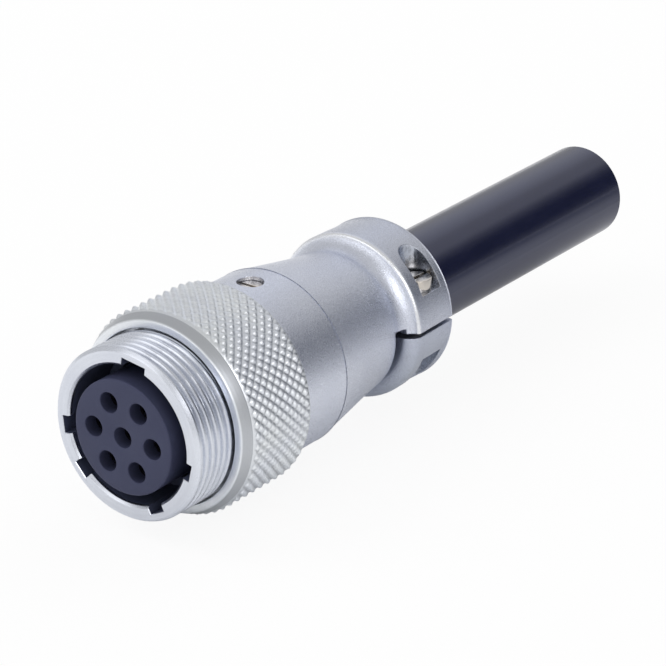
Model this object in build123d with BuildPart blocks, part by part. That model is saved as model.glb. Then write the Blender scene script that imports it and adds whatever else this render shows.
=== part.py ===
"""Seven-pole circular power connector: an in-line receptacle with a cable stub.

The axis of the connector is Y. The mating face is at Y = 0 and looks towards -Y, the cable
leaves towards +Y, and the clamp's split plane is Z = 0. Every outline of a turned piece is
written as (station, radius): the distance behind the mating face, then the radius.
"""

import os
from math import cos, pi, radians, sin

from build123d import *

os.makedirs("parts", exist_ok=True)

# Fits
slide_gap = 0.05  # between flat faces that turn or slide on each other
running_gap = 0.08  # radial, nut on its screwed spigot
free_gap = 0.3  # radial, past a piece of another body
seat_gap = 0.1  # radial, pieces slipped together by hand

# Receptacle barrel, from the mating face back
thread_r = 14.29
thread_depth = 0.89
thread_length = 7.9
thread_chamfer = 0.55
barrel_wall = 2.76
mouth_depth = 9.0
mouth_chamfer = 0.4
ledge_length = 1.5
flange_length = 2.0
tube_length = 20.0
tube_bore_step = 0.18
tube_wall = 0.95
barrel_turn = 8.0
keyway_depth = 1.22
keyway_length = 8.2
main_keyway_width = 4.6
side_keyway_width = 2.9
side_keyway_angles = (-105, -140, -215, -265)

# Insert and contacts
insert_channel = 1.73
insert_proud = 0.8
insert_edge_r = 0.5
insert_flange_length = 2.5
insert_turn = 3.4
rear_insert_length = 5.5
contact_circle_r = 5.79
outer_contacts = 6
contact_hole_r = 1.7
socket_r = 1.5
socket_bore_r = 1.05
socket_bore_length = 7.5
socket_recess = 1.5
socket_slot_width = 0.35
socket_slot_length = 5.5
shoulder_r = 2.1
shoulder_length = 2.0
stem_r = 1.55
cup_r = 1.75
cup_length = 6.0
cup_depth = 5.4
cup_window_r = 0.5
clip_thickness = 1.0
clip_depth = 1.0
clip_groove_depth = 0.45
clip_mouth = 50.0

# Union nut
lip_gap = 0.36
lip_overlap = 0.45
lip_length = 2.2
nut_front = 8.2
nut_face_width = 1.2
front_cone_length = 2.1
nut_length = 16.7
nut_chamfer = 0.4
nut_wall = 1.9
knurl_depth = 0.5
knurl_step = 0.05
knurl_count = 57
knurl_rows = 15
slip_ring_thickness = 0.5

# Backshell
shell_step = 0.17
nut_overhang = 1.3
crease_station = 36.3
crease_step = 0.08
shoulder_station = 43.0
shoulder_blend_r = 13.95
waist_station = 49.0
waist_r = 12.95
neck_station = 53.6
neck_r = 12.3
chamber_r = 11.7
chamber_end = 38.5
seal_r = 0.5
set_screw_r = 2.2
set_screw_station = 31.0
set_screw_sink = 0.65
set_screw_slot = 0.6

# Gland and cable clamp
grommet_r = 10.6
grommet_length = 8.8
grommet_ribs = 4
grommet_rib_depth = 0.5
gland_wall = 1.6
gland_hole_gap = 0.4
clamp_r = 14.35
clamp_rear = 67.2
clamp_rear_chamfer = 0.4
cove_station = 57.2
cove_radius = 3.0
rim_round = 0.9
saddle_front_gap = 2.0
saddle_front_round = 2.4
notch_height = 1.2
notch_length = 2.6
split_gap = 0.6
screw_wall = 0.4
screw_station = 62.65
screw_r = 1.3
screw_head_r = 2.35
screw_head_length = 2.0
screw_slot_width = 0.7
screw_slot_depth = 1.0
screw_tip = 0.6
pocket_r = 2.7
pocket_inset = 0.6
pocket_seat = 5.8
nut_pocket_seat = 5.4

# Cable
cable_r = 8.4
jacket_wall = 1.5
cable_end = 129.2
jacket_start = 40.5
core_r = 2.15
conductor_r = 1.2
core_circle_r = 4.5
core_clearance = 0.05
core_bend_start = 27.5
core_bend_end = 38.0
core_bend_r = 12.0

# Stations and radii that follow from those above
relief_r = thread_r - thread_depth
mouth_r = thread_r - barrel_wall
keyway_floor_r = mouth_r + keyway_depth
tube_bore_r = mouth_r - tube_bore_step
tube_r = tube_bore_r + tube_wall
insert_r = mouth_r - insert_channel
lip_r = thread_r + lip_gap
flange_r = lip_r + lip_overlap
nut_bore_r = flange_r + free_gap
spigot_r = nut_bore_r - running_gap
shell_r = spigot_r - shell_step
nut_front_r = lip_r + nut_face_width
knurl_r = nut_bore_r + nut_wall
ledge_station = mouth_depth
flange_station = nut_front + lip_length + slip_ring_thickness + 2 * slide_gap
joint_station = flange_station + flange_length
tube_end = joint_station + tube_length
nut_rear = nut_front + nut_length
spigot_end = nut_rear - nut_overhang
knurl_front = nut_front + front_cone_length
knurl_rear = nut_rear - nut_chamfer
knurl_row_pitch = (knurl_rear - knurl_front) / knurl_rows
knurl_floor_r = knurl_r - knurl_depth
insert_shoulder = mouth_depth + ledge_length
rear_insert_station = insert_shoulder + insert_flange_length
clip_station = rear_insert_station + rear_insert_length
insert_flange_r = tube_bore_r - seat_gap
shoulder_end = insert_shoulder + shoulder_length
cup_end = clip_station + cup_length
shell_bore_r = tube_r + slide_gap
seal_circle_r = (shell_bore_r + spigot_r) / 2
set_screw_length = shell_r - set_screw_sink - tube_r
clip_groove_r = tube_bore_r + clip_groove_depth
gland_end = neck_station - gland_wall
grommet_station = gland_end - grommet_length
screw_x = cable_r + screw_wall + screw_r
pocket_x = screw_x - pocket_inset
outer_angles = [insert_turn - 30 + 360 / outer_contacts * place for place in range(outer_contacts)]


def save(piece, name):
    """Label one finished piece and write its STEP file."""
    piece.label = name
    export_step(piece, f"parts/{name}.step")


def turned(outline):
    """A solid turned about the connector's axis from a closed (station, radius) outline."""
    with BuildPart() as blank:
        with BuildSketch(Plane.YZ):
            with BuildLine():
                Polyline(*outline, close=True)
            make_face()
        revolve(axis=Axis.Y)
    return blank.part


def at_angle(angle, station, radius):
    """The place at a clockwise angle from the top, seen from the mating face."""
    return Location((0, 0, 0), (0, angle, 0)) * Location((0, station, radius))


def ring_face(places):
    """A flat face with the given corners."""
    return Face(Wire.make_polygon(places))


def knurled_band():
    """The pyramids of a diamond knurl, closed by a flat face at each end.

    Groove crossings and peaks alternate round each row and from row to row, so each square
    between four neighbours is two triangles that meet in a groove's floor.
    """
    columns = 2 * knurl_count

    def corner(row, column):
        inside = 0 < row < knurl_rows
        radius = knurl_r if inside and (row + column) % 2 else knurl_floor_r
        turn = 2 * pi * (column % columns) / columns
        return (radius * sin(turn), knurl_front + row * knurl_row_pitch, radius * cos(turn))

    faces = []
    for row in range(knurl_rows):
        for column in range(columns):
            near, far = corner(row, column), corner(row + 1, column + 1)
            left, right = corner(row + 1, column), corner(row, column + 1)
            if (row + column) % 2:
                faces += [ring_face([near, left, right]), ring_face([left, far, right])]
            else:
                faces += [ring_face([near, left, far]), ring_face([near, far, right])]
    for row in (0, knurl_rows):
        faces.append(ring_face([corner(row, column) for column in range(columns)]))
    return Solid(Shell(faces))


# Receptacle barrel: keyed mouth, coupling thread, flange under the nut's lip, rear tube
with BuildPart() as receptacle_barrel:
    with BuildSketch(Plane.YZ):
        with BuildLine():
            Polyline(
                (0, mouth_r + mouth_chamfer),
                (0, thread_r - thread_chamfer),
                (thread_chamfer, thread_r),
                (thread_length, thread_r),
                (thread_length + thread_r - relief_r, relief_r),
                (flange_station, relief_r),
                (flange_station, flange_r),
                (joint_station, flange_r),
                (joint_station, tube_r),
                (tube_end, tube_r),
                (tube_end, tube_bore_r),
                (clip_station + clip_thickness + slide_gap, tube_bore_r),
                (clip_station + clip_thickness + slide_gap, clip_groove_r),
                (clip_station, clip_groove_r),
                (clip_station, tube_bore_r),
                (insert_shoulder, tube_bore_r),
                (insert_shoulder, insert_r + seat_gap),
                (ledge_station, insert_r + seat_gap),
                (ledge_station, mouth_r),
                (mouth_chamfer, mouth_r),
                close=True,
            )
        make_face()
    revolve(axis=Axis.Y)
    keyways = [(0, main_keyway_width)] + [(angle, side_keyway_width) for angle in side_keyway_angles]
    for angle, width in keyways:
        with Locations(at_angle(barrel_turn + angle, keyway_length / 2, keyway_floor_r / 2)):
            Box(width, keyway_length, keyway_floor_r, mode=Mode.SUBTRACT)
save(receptacle_barrel.part, "receptacle_barrel")

# Front insert: the dark face with seven entry holes, proud of the metal face
contact_places = [at_angle(angle, 0, contact_circle_r) for angle in outer_angles] + [Location((0, 0, 0))]
with BuildPart() as insert_front:
    with BuildSketch(Plane.YZ):
        with BuildLine():
            Polyline(
                (rear_insert_station, 0),
                (-insert_proud, 0),
                (-insert_proud, insert_r - insert_edge_r),
            )
            RadiusArc(
                (-insert_proud, insert_r - insert_edge_r),
                (insert_edge_r - insert_proud, insert_r),
                insert_edge_r,
            )
            Polyline(
                (insert_edge_r - insert_proud, insert_r),
                (insert_shoulder, insert_r),
                (insert_shoulder, insert_flange_r),
                (rear_insert_station, insert_flange_r),
                (rear_insert_station, 0),
            )
        make_face()
    revolve(axis=Axis.Y)
    for place in contact_places:
        with BuildSketch(Plane.XZ.offset(insert_proud)):
            with Locations((place.position.X, place.position.Z)):
                Circle(contact_hole_r)
        extrude(amount=-(insert_proud + rear_insert_station), mode=Mode.SUBTRACT)
        with BuildSketch(Plane.XZ.offset(-insert_shoulder)):
            with Locations((place.position.X, place.position.Z)):
                Circle(shoulder_r + seat_gap)
        extrude(amount=-insert_flange_length, mode=Mode.SUBTRACT)
save(insert_front.part, "insert_front")

# Rear insert: closes the contacts in behind their shoulders
with BuildPart() as insert_rear:
    with BuildSketch(Plane.XZ.offset(-rear_insert_station)):
        Circle(insert_flange_r)
        for place in contact_places:
            with Locations((place.position.X, place.position.Z)):
                Circle(stem_r + seat_gap, mode=Mode.SUBTRACT)
    extrude(amount=-rear_insert_length)
save(insert_rear.part, "insert_rear")

# Spring clip in the barrel's groove behind the inserts
with BuildPart() as insert_clip:
    with BuildSketch(Plane.XZ.offset(-clip_station)):
        Circle(clip_groove_r - seat_gap)
        Circle(tube_bore_r - clip_depth, mode=Mode.SUBTRACT)
        with BuildLine():
            mouth_x = clip_groove_r * sin(radians(clip_mouth / 2))
            Polyline((0, 0), (-mouth_x, -clip_groove_r), (mouth_x, -clip_groove_r), close=True)
        make_face(mode=Mode.SUBTRACT)
    extrude(amount=-clip_thickness)
save(insert_clip.part, "insert_clip")

# Socket contact: split spring socket, shoulder, stem and wire cup
with BuildPart() as socket_contact:
    with BuildSketch(Plane.YZ):
        with BuildLine():
            Polyline(
                (socket_recess, socket_bore_r),
                (socket_recess, socket_r),
                (insert_shoulder, socket_r),
                (insert_shoulder, shoulder_r),
                (shoulder_end, shoulder_r),
                (shoulder_end, stem_r),
                (clip_station, stem_r),
                (clip_station, cup_r),
                (cup_end, cup_r),
                (cup_end, conductor_r + core_clearance),
                (cup_end - cup_depth, conductor_r + core_clearance),
                (cup_end - cup_depth, 0),
                (socket_recess + socket_bore_length, 0),
                (socket_recess + socket_bore_length, socket_bore_r),
                close=True,
            )
        make_face()
    revolve(axis=Axis.Y)
    with BuildSketch(Plane.XZ.offset(-socket_recess)):
        Rectangle(socket_slot_width, 3 * socket_r)
    extrude(amount=-socket_slot_length, mode=Mode.SUBTRACT)
    with BuildSketch(Plane.XY):
        with Locations((0, cup_end - cup_depth + 2 * cup_window_r)):
            Circle(cup_window_r)
    extrude(amount=2 * cup_r, mode=Mode.SUBTRACT)
for number, place in enumerate(contact_places, start=1):
    save(place * socket_contact.part, f"socket_contact_{number}")

# Slip ring between the nut's lip and the barrel's flange
slip_ring_station = nut_front + lip_length + slide_gap
slip_ring_inner_r = thread_r + free_gap
with BuildPart() as slip_ring:
    with BuildSketch(Plane.XZ.offset(-slip_ring_station)):
        Circle(flange_r)
        Circle(slip_ring_inner_r, mode=Mode.SUBTRACT)
    extrude(amount=-slip_ring_thickness)
save(slip_ring.part, "slip_ring")

# Union nut: turned ring with an inner lip, and the diamond knurl round it
collar_r = knurl_floor_r * cos(pi / (2 * knurl_count)) - knurl_step
nut_body = turned(
    [
        (nut_front, lip_r),
        (nut_front, nut_front_r),
        (knurl_front - knurl_step, collar_r),
        (nut_rear - nut_chamfer / 2, collar_r),
        (nut_rear, collar_r - nut_chamfer / 2),
        (nut_rear, nut_bore_r),
        (nut_front + lip_length, nut_bore_r),
        (nut_front + lip_length, lip_r),
    ]
)
band_core_r = (nut_bore_r + collar_r) / 2
with BuildPart() as band_bore:
    with BuildSketch(Plane.XZ.offset(-knurl_front + knurl_row_pitch)):
        Circle(band_core_r)
    extrude(amount=-(knurl_rear - knurl_front + 2 * knurl_row_pitch))
knurl_ring = knurled_band() - band_bore.part
with BuildPart() as union_nut:
    add(nut_body, clean=False)
    add(knurl_ring, clean=False)
save(union_nut.part, "union_nut")

# Backshell: screwed spigot, body, domed shoulder, neck with the gland, upper clamp half
seal_groove_depth = 2 * seal_r
tube_seat = tube_end + slide_gap
shell_outline = [
    (joint_station, shell_bore_r),
    (joint_station, seal_circle_r - seal_r),
    (joint_station + seal_groove_depth, seal_circle_r - seal_r),
    (joint_station + seal_groove_depth, seal_circle_r + seal_r),
    (joint_station, seal_circle_r + seal_r),
    (joint_station, spigot_r),
    (spigot_end, spigot_r),
    (spigot_end, shell_r),
    (crease_station, shell_r),
    (crease_station + crease_step, shell_r - crease_step),
]
bore_outline = [
    (neck_station, neck_r),
    (neck_station, cable_r + gland_hole_gap),
    (gland_end, cable_r + gland_hole_gap),
    (gland_end, grommet_r),
    (grommet_station - slide_gap, grommet_r),
    (chamber_end, chamber_r),
    (tube_seat, chamber_r),
    (tube_seat, shell_bore_r),
    (joint_station, shell_bore_r),
]


cove_r = clamp_r - rim_round
rim_station = cove_station + rim_round
with BuildPart() as backshell:
    with BuildSketch(Plane.YZ):
        with BuildLine():
            RadiusArc((neck_station, neck_r), (cove_station, cove_r), -cove_radius)
            RadiusArc((cove_station, cove_r), (rim_station, clamp_r), rim_round)
            Polyline(
                (rim_station, clamp_r),
                (clamp_rear - clamp_rear_chamfer, clamp_r),
                (clamp_rear, clamp_r - clamp_rear_chamfer),
                (clamp_rear, cable_r),
                (neck_station, cable_r),
                (neck_station, neck_r),
            )
        make_face()
    revolve(axis=Axis.Y)
    with BuildSketch(Plane.XY.offset(split_gap / 2)):
        with Locations((0, (neck_station + clamp_rear) / 2)):
            Rectangle(2 * clamp_r, clamp_rear - neck_station)
    extrude(amount=-2 * clamp_r, mode=Mode.SUBTRACT)
    with BuildSketch(Plane.XY.offset(notch_height)):
        with Locations((0, neck_station + notch_length / 2)):
            Rectangle(2 * clamp_r, notch_length)
    extrude(amount=-notch_height, mode=Mode.SUBTRACT)
    with BuildSketch(Plane.YZ):
        with BuildLine():
            Polyline(*shell_outline)
            Spline(
                (crease_station + crease_step, shell_r - crease_step),
                (shoulder_station, shoulder_blend_r),
                (waist_station, waist_r),
                (neck_station, neck_r),
            )
            Polyline(*bore_outline)
        make_face()
    revolve(axis=Axis.Y)
    with BuildSketch(Plane.XY):
        with Locations((0, set_screw_station)):
            Circle(set_screw_r)
    extrude(amount=2 * shell_r, mode=Mode.SUBTRACT)
    with BuildSketch(Plane.XY.offset(pocket_seat)):
        for side in (-1, 1):
            with Locations((side * pocket_x, screw_station)):
                Circle(pocket_r)
            with Locations((side * (pocket_x + clamp_r / 2), screw_station)):
                Rectangle(clamp_r, 2 * pocket_r)
    extrude(amount=clamp_r, mode=Mode.SUBTRACT)
    with BuildSketch(Plane.XY):
        with Locations((-screw_x, screw_station), (screw_x, screw_station)):
            Circle(screw_r + seat_gap)
    extrude(amount=clamp_r, mode=Mode.SUBTRACT)
save(backshell.part, "backshell")

# Joint seal in the spigot's face groove
with BuildPart() as joint_seal:
    with BuildSketch(Plane.YZ):
        with Locations((joint_station + seal_r, seal_circle_r)):
            Circle(seal_r)
    revolve(axis=Axis.Y)
save(joint_seal.part, "joint_seal")

# Set screw that locks the backshell on the barrel's tube
with BuildPart() as set_screw:
    with BuildSketch(Plane.XY.offset(tube_r)):
        with Locations((0, set_screw_station)):
            Circle(set_screw_r)
    extrude(amount=set_screw_length)
    with BuildSketch(Plane.XY.offset(tube_r + set_screw_length)):
        with Locations((0, set_screw_station)):
            Rectangle(2 * set_screw_r, set_screw_slot)
    extrude(amount=-set_screw_length / 3, mode=Mode.SUBTRACT)
save(set_screw.part, "set_screw")

# Clamp saddle: the separate lower half, tapped for the two screws
saddle_station = neck_station + saddle_front_gap
with BuildPart() as clamp_saddle:
    with BuildSketch(Plane.YZ):
        with BuildLine():
            RadiusArc(
                (saddle_station, clamp_r - saddle_front_round),
                (saddle_station + saddle_front_round, clamp_r),
                saddle_front_round,
            )
            Polyline(
                (saddle_station + saddle_front_round, clamp_r),
                (clamp_rear - clamp_rear_chamfer, clamp_r),
                (clamp_rear, clamp_r - clamp_rear_chamfer),
                (clamp_rear, cable_r),
                (saddle_station, cable_r),
                (saddle_station, clamp_r - saddle_front_round),
            )
        make_face()
    revolve(axis=Axis.Y)
    with BuildSketch(Plane.XY.offset(-split_gap / 2)):
        with Locations((0, (saddle_station + clamp_rear) / 2)):
            Rectangle(2 * clamp_r, clamp_rear - saddle_station)
    extrude(amount=2 * clamp_r, mode=Mode.SUBTRACT)
    with BuildSketch(Plane.XY.offset(-nut_pocket_seat)):
        for side in (-1, 1):
            with Locations((side * pocket_x, screw_station)):
                Circle(pocket_r)
            with Locations((side * (pocket_x + clamp_r / 2), screw_station)):
                Rectangle(clamp_r, 2 * pocket_r)
    extrude(amount=-clamp_r, mode=Mode.SUBTRACT)
    with BuildSketch(Plane.XY):
        with Locations((-screw_x, screw_station), (screw_x, screw_station)):
            Circle(screw_r)
    extrude(amount=-clamp_r, mode=Mode.SUBTRACT)
save(clamp_saddle.part, "clamp_saddle")

# Two slotted screws that pull the saddle up to the backshell
with BuildPart() as clamp_screws:
    with BuildSketch(Plane.XY.offset(pocket_seat)):
        with Locations((-screw_x, screw_station), (screw_x, screw_station)):
            Circle(screw_r)
    extrude(amount=-(pocket_seat + nut_pocket_seat + screw_tip))
    with BuildSketch(Plane.XY.offset(pocket_seat)):
        with Locations((-screw_x, screw_station), (screw_x, screw_station)):
            Circle(screw_head_r)
    extrude(amount=screw_head_length)
    with BuildSketch(Plane.XY.offset(pocket_seat + screw_head_length)):
        with Locations((-screw_x, screw_station), (screw_x, screw_station)):
            Rectangle(screw_slot_width, 2 * screw_head_r)
    extrude(amount=-screw_slot_depth, mode=Mode.SUBTRACT)
save(clamp_screws.part, "clamp_screws")

# Ribbed rubber grommet that seals the cable in the neck
rib_pitch = grommet_length / (2 * grommet_ribs - 1)
grommet_outline = [(gland_end, cable_r), (grommet_station, cable_r)]
for rib in range(grommet_ribs):
    rib_start = grommet_station + 2 * rib * rib_pitch
    if rib:
        grommet_outline.append((rib_start, grommet_r - grommet_rib_depth))
    grommet_outline += [(rib_start, grommet_r), (rib_start + rib_pitch, grommet_r)]
    if rib < grommet_ribs - 1:
        grommet_outline.append((rib_start + rib_pitch, grommet_r - grommet_rib_depth))
save(turned(grommet_outline), "cable_grommet")

# Cable jacket and the filler round the seven cores
filler_r = cable_r - jacket_wall
with BuildPart() as cable_jacket:
    with BuildSketch(Plane.XZ.offset(-jacket_start)):
        Circle(cable_r)
        Circle(filler_r, mode=Mode.SUBTRACT)
    extrude(amount=-(cable_end - jacket_start))
save(cable_jacket.part, "cable_jacket")

with BuildPart() as cable_filler:
    with BuildSketch(Plane.XZ.offset(-jacket_start)):
        Circle(filler_r)
        Circle(core_r, mode=Mode.SUBTRACT)
        for angle in outer_angles:
            with Locations((core_circle_r * sin(radians(angle)), core_circle_r * cos(radians(angle)))):
                Circle(core_r, mode=Mode.SUBTRACT)
    extrude(amount=-(cable_end - jacket_start))
save(cable_filler.part, "cable_filler")


def wire(start, outer_r, inner_r, contact_r, cable_circle_r):
    """One straight or gently bent wire, from its start station to the cable's end."""
    with BuildPart() as strand:
        with BuildLine(Plane.YZ) as route:
            if contact_r == cable_circle_r:
                Line((start, contact_r), (cable_end, cable_circle_r))
            else:
                FilletPolyline(
                    (start, contact_r),
                    (core_bend_start, contact_r),
                    (core_bend_end, cable_circle_r),
                    (cable_end, cable_circle_r),
                    radius=core_bend_r,
                )
        with BuildSketch(Plane(origin=route.line @ 0, z_dir=route.line % 0)):
            Circle(outer_r)
            if inner_r:
                Circle(inner_r, mode=Mode.SUBTRACT)
        sweep(path=route.line)
    return strand.part


# Seven insulated cores and the copper conductors that end in the contacts' cups
core_start = cup_end + slide_gap
conductor_start = cup_end - cup_depth
outer_core = wire(core_start, core_r, conductor_r, contact_circle_r, core_circle_r)
centre_core = wire(core_start, core_r, conductor_r, 0, 0)
outer_conductor = wire(conductor_start, conductor_r, 0, contact_circle_r, core_circle_r)
centre_conductor = wire(conductor_start, conductor_r, 0, 0, 0)
for number, angle in enumerate(outer_angles, start=1):
    save(Location((0, 0, 0), (0, angle, 0)) * outer_core, f"core_{number}")
    save(Location((0, 0, 0), (0, angle, 0)) * outer_conductor, f"conductor_{number}")
save(centre_core, f"core_{outer_contacts + 1}")
save(centre_conductor, f"conductor_{outer_contacts + 1}")
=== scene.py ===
"""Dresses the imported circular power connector: finer metalwork, plated finishes, rubber and studio.

The frame is the CAD's own: +Y runs along the connector from the mating face to the cable, +Z is up.
Sizes in the classes are millimetres. A turned outline is a row of (station, radius) corners.
"""

import logging
from dataclasses import dataclass
from enum import Enum
from math import atan2, cos, floor, hypot, pi, radians, sin, tan
from typing import Callable, Sequence

import bmesh
import bpy
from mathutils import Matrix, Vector


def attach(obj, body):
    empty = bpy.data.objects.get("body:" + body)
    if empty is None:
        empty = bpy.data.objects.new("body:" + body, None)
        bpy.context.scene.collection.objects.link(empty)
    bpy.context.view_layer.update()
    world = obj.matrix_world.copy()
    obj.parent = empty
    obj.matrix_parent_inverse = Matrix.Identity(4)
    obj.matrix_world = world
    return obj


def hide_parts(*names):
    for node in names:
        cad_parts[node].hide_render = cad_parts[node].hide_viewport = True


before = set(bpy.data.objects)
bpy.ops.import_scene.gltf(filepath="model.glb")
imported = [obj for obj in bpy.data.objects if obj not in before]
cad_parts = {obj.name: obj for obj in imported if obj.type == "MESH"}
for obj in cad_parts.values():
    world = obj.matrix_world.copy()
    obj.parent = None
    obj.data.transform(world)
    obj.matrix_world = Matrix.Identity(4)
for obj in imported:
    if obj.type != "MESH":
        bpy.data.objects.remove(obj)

log = logging.getLogger("connector")

Rgb = tuple[float, float, float]
Corner = tuple[float, float, float]
Point = tuple[float, float]
Piece = bpy.types.Object
Socket = bpy.types.NodeSocket

MM = 0.001
MERGE = 1e-6  # metres under which two corners become one
SLACK = 0.05  # mm by which a test of a place is widened
HAIR = 0.01  # mm by which a test of the knurl's edges is widened
MIDTONES: Point = (0.35, 0.65)  # middle of a noise's range


class Body(Enum):
    """Rigid bodies that pieces ride on."""

    BACKSHELL = "backshell_body"
    NUT = "nut_body"


def smooth_step(value: float) -> float:
    """Ease a share from 0 to 1 with flat ends."""
    share = min(max(value, 0.0), 1.0)
    return share * share * (3 - 2 * share)


def off_axis(place: Vector) -> float:
    """Distance of a place from the connector's axis."""
    return hypot(place.x, place.z)


def spread(place: Vector, scale: float) -> Vector:
    """A place moved square to the axis, to a scale of its distance."""
    return Vector((place.x * scale, place.y, place.z * scale))


def on_circle(radius: float, count: int, first: float = 0.0) -> list[Point]:
    """Even places on a circle, clockwise from the top seen from the front.

    Args:
        radius: Radius of the circle.
        count: Number of places.
        first: Angle of the first place in degrees.

    Returns:
        The places as (x, z).
    """
    angles = [radians(first + 360 / count * place) for place in range(count)]
    return [(radius * sin(angle), radius * cos(angle)) for angle in angles]


def clear() -> None:
    """Leave edit mode and deselect everything."""
    if bpy.context.object and bpy.context.object.mode != "OBJECT":
        bpy.ops.object.mode_set(mode="OBJECT")
    bpy.ops.object.select_all(action="DESELECT")


def take(piece: Piece) -> None:
    """Select one object alone and make it active."""
    clear()
    piece.select_set(True)
    bpy.context.view_layer.objects.active = piece


def edit(piece: Piece) -> None:
    """Open one object in edit mode with every corner selected."""
    take(piece)
    bpy.ops.object.mode_set(mode="EDIT")
    bpy.ops.mesh.select_mode(type="VERT")
    bpy.ops.mesh.select_all(action="SELECT")


def pick_faces(piece: Piece, wanted: Callable[[Vector], bool]) -> None:
    """Open one object in edit mode with only some faces selected.

    Args:
        piece: Object to open.
        wanted: Test of a face's normal.
    """
    edit(piece)
    bpy.ops.mesh.select_mode(type="FACE")
    bpy.ops.mesh.select_all(action="DESELECT")
    work = bmesh.from_edit_mesh(piece.data)
    for face in work.faces:
        face.select_set(wanted(face.normal))
    bmesh.update_edit_mesh(piece.data)


def pull(way: Corner) -> None:
    """Extrude the selected faces along a way in mm."""
    move = {"value": [part * MM for part in way]}
    bpy.ops.mesh.extrude_region_move(TRANSFORM_OT_translate=move)


def close(piece: Piece) -> None:
    """Merge doubles, turn the normals outwards and leave edit mode."""
    edit(piece)
    bpy.ops.mesh.remove_doubles(threshold=MERGE)
    bpy.ops.mesh.normals_make_consistent(inside=False)
    bpy.ops.object.mode_set(mode="OBJECT")


def smooth(piece: Piece, angle: float) -> None:
    """Shade smooth, with edges sharper than the angle in degrees kept."""
    take(piece)
    bpy.ops.object.shade_smooth_by_angle(angle=radians(angle))


def settle(piece: Piece) -> None:
    """Put the object's place, turn and scale into its mesh."""
    take(piece)
    bpy.ops.object.transform_apply(location=True, rotation=True, scale=True)


def apply(piece: Piece, kind: str, **settings: object) -> None:
    """Add one modifier and apply it.

    Args:
        piece: Object that gets the modifier.
        kind: Blender's type of modifier.
        settings: Values of the modifier's own properties.
    """
    modifier = piece.modifiers.new(kind.lower(), kind)
    for key, value in settings.items():
        setattr(modifier, key, value)
    take(piece)
    bpy.ops.object.modifier_apply(modifier=modifier.name)


def cut(piece: Piece, cutter: Piece) -> None:
    """Take one solid out of another and throw the cutter away."""
    apply(piece, "BOOLEAN", operation="DIFFERENCE", solver="EXACT", object=cutter)
    bpy.data.objects.remove(cutter)


def bevel(piece: Piece, width: float, segments: int, angle: float, clamp: bool) -> None:
    """Round the sharp edges of a piece.

    Args:
        piece: Piece to work on.
        width: Width of the rounding in mm.
        segments: Runs across it.
        angle: Bend in degrees over which an edge counts as sharp.
        clamp: Whether roundings stop where they would meet.
    """
    apply(
        piece, "BEVEL", width=width * MM, segments=segments, limit_method="ANGLE",
        angle_limit=radians(angle), use_clamp_overlap=clamp,
    )


def add(name: str, data: bpy.types.ID) -> Piece:
    """Put a new object round its data into the scene."""
    piece = bpy.data.objects.new(name, data)
    bpy.context.scene.collection.objects.link(piece)
    return piece


def named(name: str) -> Piece:
    """Name the object that was just made and put its place into its mesh."""
    piece = bpy.context.object
    piece.name = name
    settle(piece)
    return piece


def join(name: str, pieces: Sequence[Piece]) -> Piece:
    """Join several objects into the first and rename it.

    Args:
        name: Name of the joined piece.
        pieces: Objects to join.

    Returns:
        The joined object.
    """
    take(pieces[0])
    for piece in pieces[1:]:
        piece.select_set(True)
    bpy.ops.object.join()
    pieces[0].name = name
    return pieces[0]


def turned(name: str, outline: Sequence[Point], steps: int) -> Piece:
    """Spin an outline about the connector's axis into a closed turned piece.

    Args:
        name: Name of the piece.
        outline: Corners as (station, radius) in mm; the last joins the first.
        steps: Segments round the axis.

    Returns:
        The turned piece, its place in its mesh.
    """
    clear()
    start = Vector((0, outline[0][0], outline[0][1])) * MM
    bpy.ops.mesh.primitive_plane_add(size=MM, location=start)
    piece = named(name)
    edit(piece)
    bpy.ops.mesh.merge(type="CENTER")
    for before, after in zip(outline, outline[1:]):
        step = Vector((0, after[0] - before[0], after[1] - before[1])) * MM
        bpy.ops.mesh.extrude_vertices_move(TRANSFORM_OT_translate={"value": step})
    bpy.ops.mesh.select_all(action="SELECT")
    work = bmesh.from_edit_mesh(piece.data)
    ends = [corner for corner in work.verts if len(corner.link_edges) == 1]
    if len(ends) == 2 and min(outline[0][1], outline[-1][1]) > 0:
        work.edges.new(ends)
        bmesh.update_edit_mesh(piece.data)
        bpy.ops.mesh.select_all(action="SELECT")
    bpy.ops.mesh.spin(steps=steps, angle=2 * pi, center=(0, 0, 0), axis=(0, 1, 0))
    close(piece)
    return piece


def move_corners(piece: Piece, rule: Callable[[Vector], Vector]) -> None:
    """Press a surface into shape: every corner goes where a rule in mm sends it."""
    for corner in piece.data.vertices:
        corner.co = rule(corner.co / MM) * MM
    piece.data.update()


def block(name: str, size: Corner, centre: Corner) -> Piece:
    """A box of a size in mm, centred at a place in mm, as the start of a piece."""
    clear()
    place, scale = Vector(centre) * MM, Vector(size) * MM
    bpy.ops.mesh.primitive_cube_add(size=1, location=place, scale=scale)
    return named(name)


def rod(
    name: str, radius: float, low: Corner, length: float, sides: int, level: bool = False
) -> Piece:
    """A cylinder as the start of a piece.

    Args:
        name: Name of the piece.
        radius: Radius in mm.
        low: Centre of its lower or front end in mm.
        length: Length in mm.
        sides: Segments round it.
        level: Whether it lies along the connector's axis and doesn't stand.

    Returns:
        The cylinder, its place in its mesh.
    """
    along = Vector((0, 1, 0)) if level else Vector((0, 0, 1))
    clear()
    bpy.ops.mesh.primitive_cylinder_add(
        vertices=sides,
        radius=radius * MM,
        depth=length * MM,
        location=(Vector(low) + along * length / 2) * MM,
        rotation=(-pi / 2, 0, 0) if level else (0, 0, 0),
    )
    return named(name)


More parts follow.
